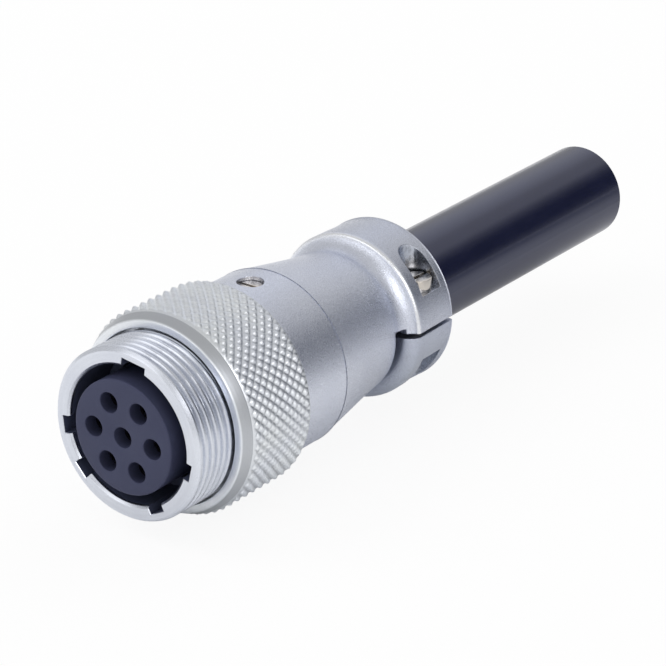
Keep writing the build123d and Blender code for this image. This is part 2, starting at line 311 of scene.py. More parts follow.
def rounded(*corners: Corner, segments: int = 4) -> list[Point]:
    """Round the corners of a closed outline.

    Args:
        corners: (station, radius, rounding) in mm; rounding 0 keeps a corner sharp.
        segments: Runs that each rounding gets.

    Returns:
        The outline's points.
    """
    outline: list[Point] = []
    for number, (station, radius, rounding) in enumerate(corners):
        here = Vector((station, radius))
        if not rounding:
            outline.append((here.x, here.y))
            continue
        back = (Vector(corners[number - 1][:2]) - here).normalized()
        ahead = (Vector(corners[(number + 1) % len(corners)][:2]) - here).normalized()
        half = back.angle(ahead) / 2
        start, end = here + back * (rounding / tan(half)), here + ahead * (rounding / tan(half))
        centre = here + (back + ahead).normalized() * (rounding / sin(half))
        first, last = start - centre, end - centre
        sweep = first.angle(last)
        for place in range(segments + 1):
            share = place / segments
            arm = (first * sin((1 - share) * sweep) + last * sin(share * sweep)) / sin(sweep)
            outline.append((centre.x + arm.x, centre.y + arm.y))
    return outline


def arc(start: Point, end: Point, radius: float, segments: int = 8) -> list[Point]:
    """Corners along an arc between two corners of an outline.

    Args:
        start: First corner as (station, radius).
        end: Last corner, further back.
        radius: Radius in mm; a minus sign hollows the outline.
        segments: Runs along the arc.

    Returns:
        The arc's corners with both ends.
    """
    first, last = Vector(start), Vector(end)
    chord = last - first
    side = Vector((chord.y, -chord.x)).normalized() * (1 if radius > 0 else -1)
    centre = (first + last) / 2 + side * (radius * radius - chord.length_squared / 4) ** 0.5
    reach = abs(radius)
    out = []
    for place in range(segments + 1):
        way = first.lerp(last, place / segments) - centre
        corner = centre + way.normalized() * reach
        out.append((corner.x, corner.y))
    return out


def flowing(corners: Sequence[Point], runs: int = 6) -> list[Point]:
    """A smooth line through corners.

    Args:
        corners: Corners as (station, radius).
        runs: Runs between two corners.

    Returns:
        The line's corners with both ends.
    """
    ends = [Vector(corners[0]) * 2 - Vector(corners[1])]
    ends += [Vector(corner) for corner in corners]
    ends.append(ends[-1] * 2 - ends[-2])
    out = []
    for first, start, end, last in zip(ends, ends[1:], ends[2:], ends[3:]):
        for place in range(runs):
            t = place / runs
            slope_in, slope_out = (end - first) / 2, (last - start) / 2
            point = (
                start * (2 * t**3 - 3 * t**2 + 1)
                + slope_in * (t**3 - 2 * t**2 + t)
                + end * (3 * t**2 - 2 * t**3)
                + slope_out * (t**3 - t**2)
            )
            out.append((point.x, point.y))
    return out + [tuple(corners[-1])]


class Recipe:
    """A material's node tree round one Principled shader."""

    def __init__(self, name: str) -> None:
        """Start an empty material with a shader, an output and object coordinates."""
        self.material = bpy.data.materials.new(name)
        self.material.use_nodes = True
        self.tree = self.material.node_tree
        self.tree.nodes.clear()
        self.output = self.tree.nodes.new("ShaderNodeOutputMaterial")
        self.shader = self.tree.nodes.new("ShaderNodeBsdfPrincipled")
        self.place = self.tree.nodes.new("ShaderNodeTexCoord").outputs["Object"]
        self.show(self.shader.outputs[0])

    def show(self, surface: Socket) -> None:
        """Make a shader the material's surface."""
        self.tree.links.new(surface, self.output.inputs["Surface"])

    def set(self, **values: object) -> None:
        """Set or link the shader's sockets; an underscore stands for a space."""
        for key, value in values.items():
            self.feed(self.shader.inputs[key.replace("_", " ")], value)

    def feed(self, socket: Socket, value: object) -> None:
        """Link a socket to another, or give it a plain value."""
        if isinstance(value, Socket):
            self.tree.links.new(value, socket)
        elif isinstance(value, tuple) and len(value) == 3 and socket.type == "RGBA":
            socket.default_value = (*value, 1)
        else:
            socket.default_value = value

    def node(self, kind: str, inputs: dict[object, object], **settings: object) -> bpy.types.Node:
        """Add a node.

        Args:
            kind: Type of node, without its ShaderNode prefix.
            inputs: Sockets, by name or number, with the value or socket that each gets.
            settings: The node's own properties.

        Returns:
            The new node.
        """
        made = self.tree.nodes.new("ShaderNode" + kind)
        for key, value in settings.items():
            setattr(made, key, value)
        for key, value in inputs.items():
            self.feed(made.inputs[key], value)
        return made

    def noise(self, size: float, stretch: Corner = (1, 1, 1)) -> Socket:
        """Noise from 0 to 1 with grains of a size in mm, finer by a factor along each axis."""
        grid = self.node("Mapping", {"Vector": self.place, "Scale": stretch}).outputs[0]
        inputs = {"Vector": grid, "Scale": 1 / (size * MM), "Detail": 3}
        return self.node("TexNoise", inputs).outputs["Fac"]

    def blend(self, share: object, first: object, second: object) -> Socket:
        """Mix two colours by a share."""
        return self.node("Mix", {0: share, 6: first, 7: second}, data_type="RGBA").outputs[2]

    def span(self, value: object, low: float, high: float, *to: float) -> Socket:
        """Map a value from a range to another, or to 0 and 1, held at the ends."""
        ends = dict(enumerate((value, low, high, *(to or (0.0, 1.0)))))
        return self.node("MapRange", ends).outputs[0]

    def math(self, how: str, *values: object) -> Socket:
        """Reckon with one or two numbers."""
        return self.node("Math", dict(enumerate(values)), operation=how).outputs[0]

    def length(self, *parts: object) -> Socket:
        """Length of a line from its parts along two axes."""
        squares = [self.math("MULTIPLY", part, part) for part in parts]
        return self.math("POWER", self.math("ADD", *squares), 0.5)

    def dent(self, height: object, depth: float, under: Socket | None = None) -> Socket:
        """A bump of a full depth in mm, on top of another where one is given."""
        made = self.node("Bump", {"Height": height, "Distance": depth * MM})
        if under:
            self.feed(made.inputs["Normal"], under)
        return made.outputs[0]

    def glow(self, colour: object) -> Socket:
        """An even light of a colour."""
        return self.node("Emission", {"Color": colour, "Strength": 1.0}).outputs[0]

    def axes(self) -> list[Socket]:
        """The three object coordinates in metres."""
        return list(self.node("SeparateXYZ", {0: self.place}).outputs)

    def rings(self, size: float) -> Socket:
        """Marks that a lathe leaves: noise that only changes along the axis and with the radius.

        Args:
            size: Width of one mark in mm.

        Returns:
            The marks from 0 to 1.
        """
        x, y, z = self.axes()
        flat = self.node("CombineXYZ", {0: self.length(x, z), 1: y}).outputs[0]
        inputs = {"Vector": flat, "Scale": 1 / (size * MM), "Detail": 2.0}
        return self.node("TexNoise", inputs).outputs["Fac"]

    def belt(self, start: float, end: float, share: float) -> Socket:
        """A share that holds between two stations in mm and fades to nothing outside them."""
        station = self.axes()[1]
        past = self.span(station, (start - 0.1) * MM, (start + 0.15) * MM)
        before = self.span(station, (end - 0.15) * MM, (end + 0.1) * MM, share, 0.0)
        return self.math("MULTIPLY", past, before)

    def worn(self, name: str) -> Socket:
        """Number painted on the mesh under a name."""
        return self.node("Attribute", {}, attribute_name=name).outputs["Fac"]


@dataclass(frozen=True)
class PlatedMetal:
    """Satin plate: fine grain, turning marks, slow cloudiness, painted shade and painted highlight.

    Grain, mark and cloud are widths in mm, grain_depth and turning are depths in mm, mouth is the
    station in mm up to which the plate is painted near black as shade, grooves read from relief get
    a little painted shade, dull is a belt of painted shade, and glint is a belt of painted highlight.
    """

    name: str
    light: Rgb
    deep: Rgb
    roughness: float = 0.30
    grain: float = 0.30
    grain_depth: float = 0.003
    speckle: float = 0.1
    turning: float = 0.0
    mark: float = 0.09
    streak: float = 0.12
    relief: str = ""
    mouth: float = 0.0
    shade_belt: Corner = (0.0, 0.0, 0.0)
    glint: Corner = (0.0, 0.0, 0.0)
    cloud: float = 9.0
    glint_colour: Rgb = (0.97, 0.98, 1.0)
    glint_polish: float = 0.16
    mouth_shade_colour: Rgb = (0.02, 0.022, 0.035)

    def darker(self, share: float) -> Rgb:
        """The deep colour at a share of its own light."""
        return tuple(share * part for part in self.deep)

    def material(self) -> bpy.types.Material:
        """Build the node tree."""
        recipe = Recipe(self.name)
        speck = recipe.noise(self.grain)
        normal = recipe.dent(speck, self.grain_depth)
        gloss = recipe.span(speck, 0.3, 0.7, self.roughness + 0.08, self.roughness - 0.05)
        layers = [(recipe.span(speck, 0.36, 0.5, self.speckle, 0.0), self.darker(0.45))]
        if self.relief:
            # Painted shade: the knurl's grooves, low in the relief, are darkened towards the deep
            # colour.
            groove_shade = recipe.span(recipe.worn(self.relief), 0.0, 0.30, 0.08, 0.0)
            layers.append((groove_shade, self.darker(0.3)))
        # Painted shade: a belt of stations is darkened towards the deep colour.
        if self.shade_belt[2]:
            layers.append((recipe.belt(*self.shade_belt), self.darker(0.4)))
        if self.glint[2]:
            # Painted highlight: the belt is whitened towards glint_colour, and made glossier, so the
            # rim's rounding shines.
            belt = recipe.belt(*self.glint)
            layers.append((belt, self.glint_colour))
            polish = recipe.math("MULTIPLY", belt, self.glint_polish)
            gloss = recipe.math("SUBTRACT", gloss, polish)
        if self.mouth:
            # Painted shade: up to the mouth station the plate is painted near black, where the
            # contacts lie deep in their holes.
            ends = (self.mouth * MM, (self.mouth + 0.5) * MM)
            layers.append((recipe.span(recipe.axes()[1], *ends, 0.97, 0.0), self.mouth_shade_colour))
        if self.turning:
            marks = recipe.rings(self.mark)
            normal = recipe.dent(marks, self.turning, normal)
            layers.append((recipe.span(marks, *MIDTONES, 0.0, self.streak), self.darker(0.6)))
        bright = recipe.span(recipe.noise(self.cloud), *MIDTONES)
        colour = recipe.blend(bright, self.deep, self.light)
        for share, shade in layers:
            colour = recipe.blend(share, colour, shade)
        recipe.set(Base_Color=colour, Metallic=1.0, Roughness=gloss, Normal=normal)
        return recipe.material


@dataclass(frozen=True)
class Moulded:
    """Moulded plastic or rubber: slight cloudiness, fine skin and a few scuffs.

    Skin and cloud are widths in mm, skin_depth is a depth in mm.
    """

    name: str
    light: Rgb
    deep: Rgb
    roughness: float = 0.4
    skin: float = 0.3
    skin_depth: float = 0.003
    stretch: Corner = (1, 1, 1)
    gloss: float = 1.45
    cloud: float = 5.0
    sheen: Rgb = (0.72, 0.76, 1.0)

    def material(self) -> bpy.types.Material:
        """Build the node tree."""
        recipe = Recipe(self.name)
        skin = recipe.noise(self.skin, self.stretch)
        share = recipe.span(recipe.noise(self.cloud), 0.3, 0.7)
        recipe.set(
            Base_Color=recipe.blend(share, self.deep, self.light),
            Roughness=recipe.span(skin, 0.3, 0.7, self.roughness + 0.05, self.roughness - 0.05),
            IOR=self.gloss,
            Specular_Tint=self.sheen,
            Normal=recipe.dent(skin, self.skin_depth),
        )
        return recipe.material


class Finish(Enum):
    """Finishes of the connector, some with painted shade or painted highlight."""

    BARREL = PlatedMetal(
        "bright_barrel", (0.80, 0.83, 0.90), (0.74, 0.77, 0.85), roughness=0.27, grain=0.12,
        grain_depth=0.004, speckle=0.14, turning=0.0070, mark=0.20, streak=0.24,
    )
    NUT = PlatedMetal(
        "rolled_knurl", (0.95, 0.98, 1.00), (0.89, 0.92, 0.98), roughness=0.34, grain=0.16,
        grain_depth=0.016, speckle=0.12, turning=0.0160, mark=0.38, streak=0.28,
        # painted shade: the knurl's grooves by their relief, and a belt over the cone behind the
        # front face
        relief="relief", shade_belt=(8.4, 10.2, 0.68),
    )
    BACKSHELL = PlatedMetal(
        "blasted_casting", (0.76, 0.79, 0.88), (0.71, 0.74, 0.84), roughness=0.28, grain=0.18,
        # painted shade over the clamp half, and a painted highlight on the rim's rounding
        grain_depth=0.062, speckle=0.28, shade_belt=(58.1, 70.0, 0.20), glint=(57.2, 57.8, 0.75),
    )
    # Painted shade: the saddle is a darker copy of the backshell's blasted plate, as it lies low near
    # the floor.
    SADDLE = PlatedMetal(
        "blasted_saddle_painted_shade", (0.60, 0.64, 0.73), (0.55, 0.58, 0.68), grain=0.18,
        grain_depth=0.050, speckle=0.22,
    )
    # Painted shade: the pockets' walls and seats are a darker copy of the casting's plate.
    POCKET = PlatedMetal(
        "pocket_painted_shade", (0.56, 0.59, 0.66), (0.40, 0.43, 0.50), roughness=0.22, grain=0.5,
        grain_depth=0.030, speckle=0.4,
    )
    SCREW = PlatedMetal(
        "bright_screw", (0.74, 0.69, 0.63), (0.60, 0.55, 0.50), roughness=0.16, turning=0.0015
    )
    SPRING = PlatedMetal(
        "blued_spring", (0.36, 0.36, 0.37), (0.28, 0.28, 0.29), roughness=0.38,
        grain_depth=0.004, speckle=0.2,
    )
    BRASS = PlatedMetal(
        "turned_brass", (0.80, 0.62, 0.28), (0.68, 0.50, 0.20), roughness=0.28, grain=0.25,
        # the contacts are painted near black up to 12 mm, as shade deep in their holes
        mouth=12.0,
    )
    COPPER = PlatedMetal("drawn_copper", (0.80, 0.38, 0.22), (0.66, 0.28, 0.15), grain=0.20)
    # Dark faces inside the mouth and keyways, behind their bright edges.
    BORE = Moulded(
        "dark_bore", (0.068, 0.078, 0.130), (0.058, 0.067, 0.112), roughness=0.50,
        skin_depth=0.004,
    )
    INSERT = Moulded(
        "moulded_insert", (0.044, 0.049, 0.094), (0.039, 0.043, 0.084), roughness=0.55,
        skin=0.25, skin_depth=0.004,
    )
    JACKET = Moulded(
        "glossy_jacket", (0.008, 0.009, 0.030), (0.006, 0.007, 0.025), roughness=0.16,
        skin=0.35, skin_depth=0.001, stretch=(1, 0.12, 1), gloss=1.85,
    )
    SEAL = Moulded(
        "matt_seal", (0.020, 0.020, 0.022), (0.014, 0.014, 0.016), roughness=0.55, skin=0.25,
        skin_depth=0.006,
    )
    FILLER = Moulded(
        "paper_filler", (0.34, 0.31, 0.26), (0.28, 0.25, 0.21), roughness=0.7,
        skin_depth=0.02, stretch=(1, 0.2, 1),
    )
    CORE_BLACK = Moulded(
        "black_core", (0.024, 0.024, 0.026), (0.018, 0.018, 0.020), stretch=(1, 0.15, 1)
    )
    CORE_GREEN = Moulded(
        "green_core", (0.060, 0.220, 0.035), (0.045, 0.180, 0.028), stretch=(1, 0.15, 1)
    )

    @property
    def made(self) -> bpy.types.Material:
        """Material of this finish, built once."""
        return bpy.data.materials.get(self.value.name) or self.value.material()


def dress(piece: Piece, *finishes: Finish) -> None:
    """Give a piece its finishes, one slot each."""
    piece.data.materials.clear()
    for finish in finishes:
        piece.data.materials.append(finish.made)


def hand_over(piece: Piece, node: str, body: Body = Body.BACKSHELL) -> None:
    """Put a finished piece on its body in place of a CAD node.

    Args:
        piece: The finished piece.
        node: CAD node that it stands for.
        body: Body that it moves with.
    """
    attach(piece, body.value)
    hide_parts(node)
    log.info("%s: %d faces", piece.name, len(piece.data.polygons))


@dataclass
class CouplingBarrel:
    """Turned barrel with its coupling thread, keyed mouth, flange and rear tube."""

    face_r: float = 13.74
    thread_r: float = 14.29
    thread_start: float = 0.55
    thread_end: float = 8.4
    relief_r: float = 13.4
    relief_end: float = 8.9
    relief_rows: int = 7
    pitch: float = 1.411
    crest_station: float = 2.04
    crest_angle: float = 45.0
    crest: float = 0.13
    flank: float = 0.31
    run_in: Point = (0.25, 1.0)
    run_out: Point = (0.2, 1.3)
    thread_depth: float = 0.68
    row: float = 0.1008
    mouth_r: float = 11.53
    mouth_chamfer: float = 0.4
    bright_mouth: float = 0.9
    ledge: float = 9.0
    ledge_r: float = 10.1
    shoulder: float = 10.5
    flange: Point = (11.0, 13.0)
    flange_r: float = 15.10
    tube_r: float = 12.3
    tube_bore_r: float = 11.35
    tube_end: float = 33.0
    clip_groove: Corner = (18.5, 19.55, 11.8)
    keyway_floor_r: float = 12.75
    keyway_length: float = 8.2
    keyway_flare: Corner = (0.12, -0.38, 0.7)
    bright_keyway: float = 0.45
    keyways: tuple[Point, ...] = ((8, 4.6), (-97, 2.9), (-132, 2.9), (-207, 2.9), (-257, 2.9))
    steps: int = 256

    def outline(self) -> list[Point]:
        """Section of the blank, with a close row of corners where the thread goes."""
        corners = rounded(
            (self.bright_mouth, self.mouth_r, 0),
            (self.mouth_chamfer, self.mouth_r, 0.10),
            (0, self.mouth_r + self.mouth_chamfer, 0.10),
            (0, self.face_r, 0.12),
            (self.thread_r - self.face_r, self.thread_r, 0),
        )
        rows = int((self.thread_end - self.thread_start) / self.row)
        for place in range(rows):
            corners.append((self.thread_start + self.row * (place + 1), self.thread_r))
        for place in range(1, self.relief_rows + 1):
            share = place / self.relief_rows
            station = self.thread_end + (self.relief_end - self.thread_end) * share
            corners.append((station, self.thread_r + (self.relief_r - self.thread_r) * share))
        front, rear = self.flange
        groove_front, groove_rear, groove_r = self.clip_groove
        return corners + rounded(
            (front, self.relief_r, 0),
            (front, self.flange_r, 0.15),
            (rear, self.flange_r, 0.15),
            (rear, self.tube_r, 0),
            (self.tube_end, self.tube_r, 0.2),
            (self.tube_end, self.tube_bore_r, 0.2),
            (groove_rear, self.tube_bore_r, 0),
            (groove_rear, groove_r, 0),
            (groove_front, groove_r, 0),
            (groove_front, self.tube_bore_r, 0),
            (self.shoulder, self.tube_bore_r, 0),
            (self.shoulder, self.ledge_r, 0),
            (self.ledge, self.ledge_r, 0.1),
            (self.ledge, self.mouth_r, 0),
        )

    def thread_rule(self, place: Vector) -> Vector:
        """Where a corner of the blank goes when the right-hand thread is cut."""
        radius = off_axis(place)
        threaded = SLACK < place.y < self.relief_end + SLACK
        if not (threaded and radius > self.relief_r - SLACK):
            return place
        angle = atan2(place.x, place.z) - radians(self.crest_angle)
        turns = (place.y - self.crest_station) / self.pitch - angle / (2 * pi)
        off_crest = abs(turns - floor(turns + 0.5))
        groove = smooth_step((off_crest - self.crest) / self.flank)
        started = smooth_step((place.y - self.run_in[0]) / self.run_in[1])
        ended = smooth_step((self.thread_end + self.run_out[0] - place.y) / self.run_out[1])
        left = self.thread_r - self.thread_depth * groove * started * ended
        return spread(place, min(radius, left) / radius)

    def keyway_cutter(self, angle: float, width: float) -> Piece:
        """Cutter of one keyway, flared at the mouth so its edge comes out chamfered.

        Args:
            angle: Place of the keyway, clockwise from the top, in degrees.
            width: Width in mm.

        Returns:
            The cutter in its place.
        """
        low = self.mouth_r - 2.0
        middle, height = (self.keyway_floor_r + low) / 2, self.keyway_floor_r - low
        start, end, wider = self.keyway_flare
        cutter = block(
            "keyway_cutter",
            (width, self.keyway_length - start, height),
            (0, (self.keyway_length + start) / 2, middle),
        )
        pick_faces(cutter, lambda normal: normal.y < -0.9)
        pull((0, end - start, 0))
        bpy.ops.transform.resize(
            value=((width + wider) / width, 1, (height + wider) / height),
            center_override=(0, end * MM, middle * MM),
        )
        clear()
        cutter.rotation_euler = (0, radians(angle), 0)
        settle(cutter)
        return cutter

    def dark_faced(self, place: Vector) -> bool:
        """Whether a place in mm lies in the mouth or a keyway, past their bright edges."""
        radius, rim = off_axis(place), self.mouth_r + 0.1
        bored = radius < rim and self.bright_mouth < place.y < self.shoulder
        return bored or (
            rim < radius < self.keyway_floor_r + 0.1
            and self.bright_keyway < place.y < self.shoulder
        )

    def build(self) -> None:
        """Turn the blank, cut the thread, broach the keyways and give the mouth its dark faces."""
        barrel = turned("coupling_barrel", self.outline(), self.steps)
        move_corners(barrel, self.thread_rule)
        for angle, width in self.keyways:
            cut(barrel, self.keyway_cutter(angle, width))
        close(barrel)
        dress(barrel, Finish.BARREL, Finish.BORE)
        # faces inside the mouth and keyways take the dark second slot
        for face in barrel.data.polygons:
            face.material_index = int(self.dark_faced(face.center / MM))
        smooth(barrel, 28)
        hand_over(barrel, "receptacle_barrel")


@dataclass
class KnurlNut:
    """Union nut: turned ring with a lip and a rolled diamond knurl."""

    lip_r: float = 14.58
    lip_length: float = 2.2
    front: float = 8.2
    front_r: float = 15.85
    cone_end: float = 10.05
    cone_r: float = 16.65
    knurl_front: float = 10.3
    row_pitch: float = 0.94667
    rows: int = 15
    teeth: int = 57
    floor_r: float = 16.72
    depth: float = 0.66
    crest_blend: float = 0.16
    worn_tip: float = 0.5
    rear: float = 24.9
    rear_taper: float = 0.35
    bore_r: float = 15.40
    fine: int = 4

    @property
    def knurl_rear(self) -> float:
        """Station where the knurl ends."""
        return self.knurl_front + self.rows * self.row_pitch

    def outline(self) -> list[Point]:
        """Section of the blank, with close rows of corners where the knurl goes."""
        lip_end = self.front + self.lip_length
        corners = rounded(
            (lip_end, self.lip_r, 0.1),
            (self.front, self.lip_r, 0.18),
            (self.front, self.front_r, 0.22),
            (self.cone_end, self.cone_r, 0.10),
            (self.cone_end + 0.12, self.floor_r - 0.1, 0),
        )
        for place in range(self.rows * self.fine + 1):
            corners.append((self.knurl_front + self.row_pitch * place / self.fine, self.floor_r))
        return corners + rounded(
            (self.knurl_rear + 0.02, self.floor_r, 0),
            (self.rear, self.floor_r - self.rear_taper, 0.12),
            (self.rear, self.bore_r, 0.15),
            (lip_end, self.bore_r, 0),
        )

    def tooth(self, place: Vector) -> float:
        """Height of the knurl at a place, from 0 in a groove to 1 on a tip."""
        column = atan2(place.x, place.z) * self.teeth / pi
        row = (place.y - self.knurl_front) / self.row_pitch
        if not -HAIR < row < self.rows + HAIR:
            return 0.0
        first, second = (row + column) / 2, (row - column) / 2
        first, second = (2 * abs(along - floor(along + 0.5)) for along in (first, second))
        overlap = max(self.crest_blend - abs(first - second), 0) / self.crest_blend
        height = min(first, second) - overlap * overlap * self.crest_blend / 4
        height = min(max(height, 0), row, self.rows - row)
        if height > self.worn_tip:
            height -= (height - self.worn_tip) ** 2
        return max(height, 0.0)

    def knurl_rule(self, place: Vector) -> Vector:
        """Where a corner of the blank goes when the knurl is rolled."""
        radius = off_axis(place)
        if radius < self.floor_r - HAIR:
            return place
        return spread(place, (radius + self.depth * self.tooth(place)) / radius)

    def build(self) -> None:
        """Turn the blank, roll the knurl and note its relief for the finish."""
        nut = turned("knurled_nut", self.outline(), self.teeth * 2 * self.fine)
        relief = nut.data.attributes.new("relief", "FLOAT", "POINT")
        for corner in nut.data.vertices:
            place = corner.co / MM
            knurled = self.knurl_front - HAIR < place.y < self.knurl_rear + HAIR
            outside = off_axis(place) > self.floor_r - HAIR
            relief.data[corner.index].value = self.tooth(place) if knurled and outside else 1.0
        move_corners(nut, self.knurl_rule)
        dress(nut, Finish.NUT)
        smooth(nut, 50)
        hand_over(nut, "union_nut", Body.NUT)


@dataclass
class BackshellCasting:
    """Backshell with its upper clamp half, and the separate saddle below it."""

    joint: float = 13.0
    bore_r: float = 12.35
    groove: Corner = (1.0, 13.335, 14.335)
    spigot_r: float = 15.32
    spigot_end: float = 23.6
    shell_r: float = 15.15
    crease: float = 36.3
    crease_form: tuple[Point, ...] = ((-0.05, 0.0), (0.0, 0.02), (0.03, 0.092))
    dome: Point = (36.42, 15.07)
    shoulder: tuple[Point, ...] = ((43.0, 13.95), (49.0, 12.95), (53.6, 12.3))
    tube_seat: float = 33.05
    chamber: Point = (38.5, 11.7)
    grommet: Corner = (43.15, 52.0, 10.6)
    gland_r: float = 8.8
    cable_r: float = 8.4
    clamp_r: float = 14.35
    clamp_front: float = 53.6
    rear: float = 67.2
    rear_chamfer: float = 0.4
    cove: Point = (57.2, 3.0)
    rim_round: float = 0.62
    saddle_front: float = 55.6
    saddle_round: float = 2.4
    saddle_lip: float = 0.8
    split_gap: float = 0.6
    notch: Point = (1.2, 2.6)
    screw_x: float = 10.1
    screw_station: float = 62.65
    screw_hole_r: float = 1.4
    screw_hole_sides: int = 48
    pocket_x: float = 9.5
    pocket_r: float = 2.7
    pocket_seat: float = 5.8
    lower_seat: float = 5.4
    set_screw: Point = (31.0, 2.2)
    steps: int = 160
    soft_edge: float = 0.14

    def clamp_rear(self) -> list[Point]:
        """Rear corners of both clamp halves, from the outer edge to the cable bore."""
        return rounded(
            (self.rear - self.rear_chamfer, self.clamp_r, 0.15),
            (self.rear, self.clamp_r - self.rear_chamfer, 0.15),
            (self.rear, self.cable_r, 0.12),
            (self.rear - 3, self.cable_r, 0),
        )[:-1]

    def shell_outline(self) -> list[Point]:
        """Section through the body, neck and upper clamp half."""
        depth, low, high = self.groove
        cove_end = (self.cove[0], self.clamp_r - self.rim_round)
        rim = (self.cove[0] + self.rim_round, self.clamp_r)
        front = [
            (self.joint, self.bore_r),
            (self.joint, low),
            (self.joint + depth, low),
            (self.joint + depth, high),
            (self.joint, high),
            (self.joint, self.spigot_r),
            (self.spigot_end, self.spigot_r),
            (self.spigot_end, self.shell_r),
        ]
        crease = [(self.crease + along, self.shell_r - deep) for along, deep in self.crease_form]
        cove = arc(self.shoulder[-1], cove_end, -self.cove[1], 10)
        rounding = arc(cove_end, rim, self.rim_round, 6)
        back = [
            (self.clamp_front, self.cable_r),
            (self.clamp_front, self.gland_r),
            (self.grommet[1], self.gland_r),
            (self.grommet[1], self.grommet[2]),
            (self.grommet[0], self.grommet[2]),
            self.chamber,
            (self.tube_seat, self.chamber[1]),
            (self.tube_seat, self.bore_r),
        ]
        dome = flowing([self.dome, *self.shoulder])
        return front + crease + dome + cove[1:] + rounding[1:] + self.clamp_rear() + back

    def saddle_outline(self) -> list[Point]:
        """Section through the lower clamp half."""
        start = (self.saddle_front, self.clamp_r - self.saddle_round)
        end = (self.saddle_front + self.saddle_round, self.clamp_r)
        lip = (self.saddle_front, start[1] - self.saddle_lip)
        curve = arc(start, end, self.saddle_round, 8)
        return [(self.saddle_front, self.cable_r), lip] + curve + self.clamp_rear()

    def pocket_cutter(self, side: int, low: float, high: float) -> Piece:
        """Cutter of one U-shaped pocket, open outwards.

        Args:
            side: 1 for the right screw and -1 for the left one.
            low: Height of its lower end in mm.
            high: Height of its upper end in mm.

        Returns:
            The cutter in its place.
        """
        place = (side * self.pocket_x, self.screw_station, low)
        cutter = rod("pocket_cutter", self.pocket_r, place, high - low, self.screw_hole_sides)
        pick_faces(cutter, lambda normal: side * normal.x > 0.01 and abs(normal.z) < 0.1)
        pull((side * 12, 0, 0))
        close(cutter)
        return cutter

    def drill(self, casting: Piece, place: Point, radius: float, low: float, high: float) -> None:
        """Drill an upright round hole.

        Args:
            casting: Casting that gets the hole.
            place: Its (x, y) in mm.
            radius: Its radius in mm.
            low: Height of its lower end in mm.
            high: Height of its upper end in mm.
        """
        sides = self.screw_hole_sides
        cut(casting, rod("hole_cutter", radius, (*place, low), high - low, sides))

    def in_pocket(self, place: Vector) -> bool:
        """Whether a place in mm lies on the wall or seat of a screw pocket."""
        beside = abs(place.y - self.screw_station) < self.pocket_r + SLACK
        deep = off_axis(place) < self.clamp_r - 0.3 and abs(place.z) > 5.0
        return beside and deep and abs(place.x) > self.pocket_x - self.pocket_r - SLACK

    def upper(self) -> Piece:
        """Turn the body and cut away its lower clamp half, pockets and holes."""
        shell = turned("backshell_casting", self.shell_outline(), self.steps)
        length = self.rear - self.clamp_front
        middle = self.clamp_front + length / 2
        size, centre = (40, length + 0.04, 20), (0, middle + 0.02, self.split_gap / 2 - 10)
        cut(shell, block("half_cutter", size, centre))
        height, depth = self.notch
        size, centre = (40, depth, 10), (0, self.clamp_front + depth / 2, height - 5)
        cut(shell, block("notch_cutter", size, centre))
        for side in (-1, 1):
            cut(shell, self.pocket_cutter(side, self.pocket_seat, self.clamp_r + 2))
            place = (side * self.screw_x, self.screw_station)
            self.drill(shell, place, self.screw_hole_r, -1, 8)
        station, radius = self.set_screw
        self.drill(shell, (0, station), radius, 5, self.shell_r + 2)
        return shell

    def lower(self) -> Piece:
        """Turn the saddle and cut away its upper half, pockets and holes."""
        saddle = turned("clamp_saddle_casting", self.saddle_outline(), self.steps)
        length = self.rear - self.saddle_front
        middle = self.saddle_front + length / 2
        size, centre = (40, length + 2, 20), (0, middle, 10 - self.split_gap / 2)
        cut(saddle, block("half_cutter", size, centre))
        for side in (-1, 1):
            cut(saddle, self.pocket_cutter(side, -self.clamp_r - 2, -self.lower_seat))
            place = (side * self.screw_x, self.screw_station)
            self.drill(saddle, place, self.screw_hole_r, -8, 1)
        return saddle

    def build(self) -> None:
        """Make and dress both castings."""
        upper = (self.upper, "backshell", Finish.BACKSHELL)
        lower = (self.lower, "clamp_saddle", Finish.SADDLE)
        for make, node, finish in (upper, lower):
            casting = make()
            bevel(casting, self.soft_edge, 2, 38, False)
            close(casting)
            # the pockets' faces take the second slot, painted darker as shade
            dress(casting, finish, Finish.POCKET)
            for face in casting.data.polygons:
                face.material_index = int(self.in_pocket(face.center / MM))
            smooth(casting, 30)
            apply(casting, "WEIGHTED_NORMAL", keep_sharp=True, weight=60)
            hand_over(casting, node)


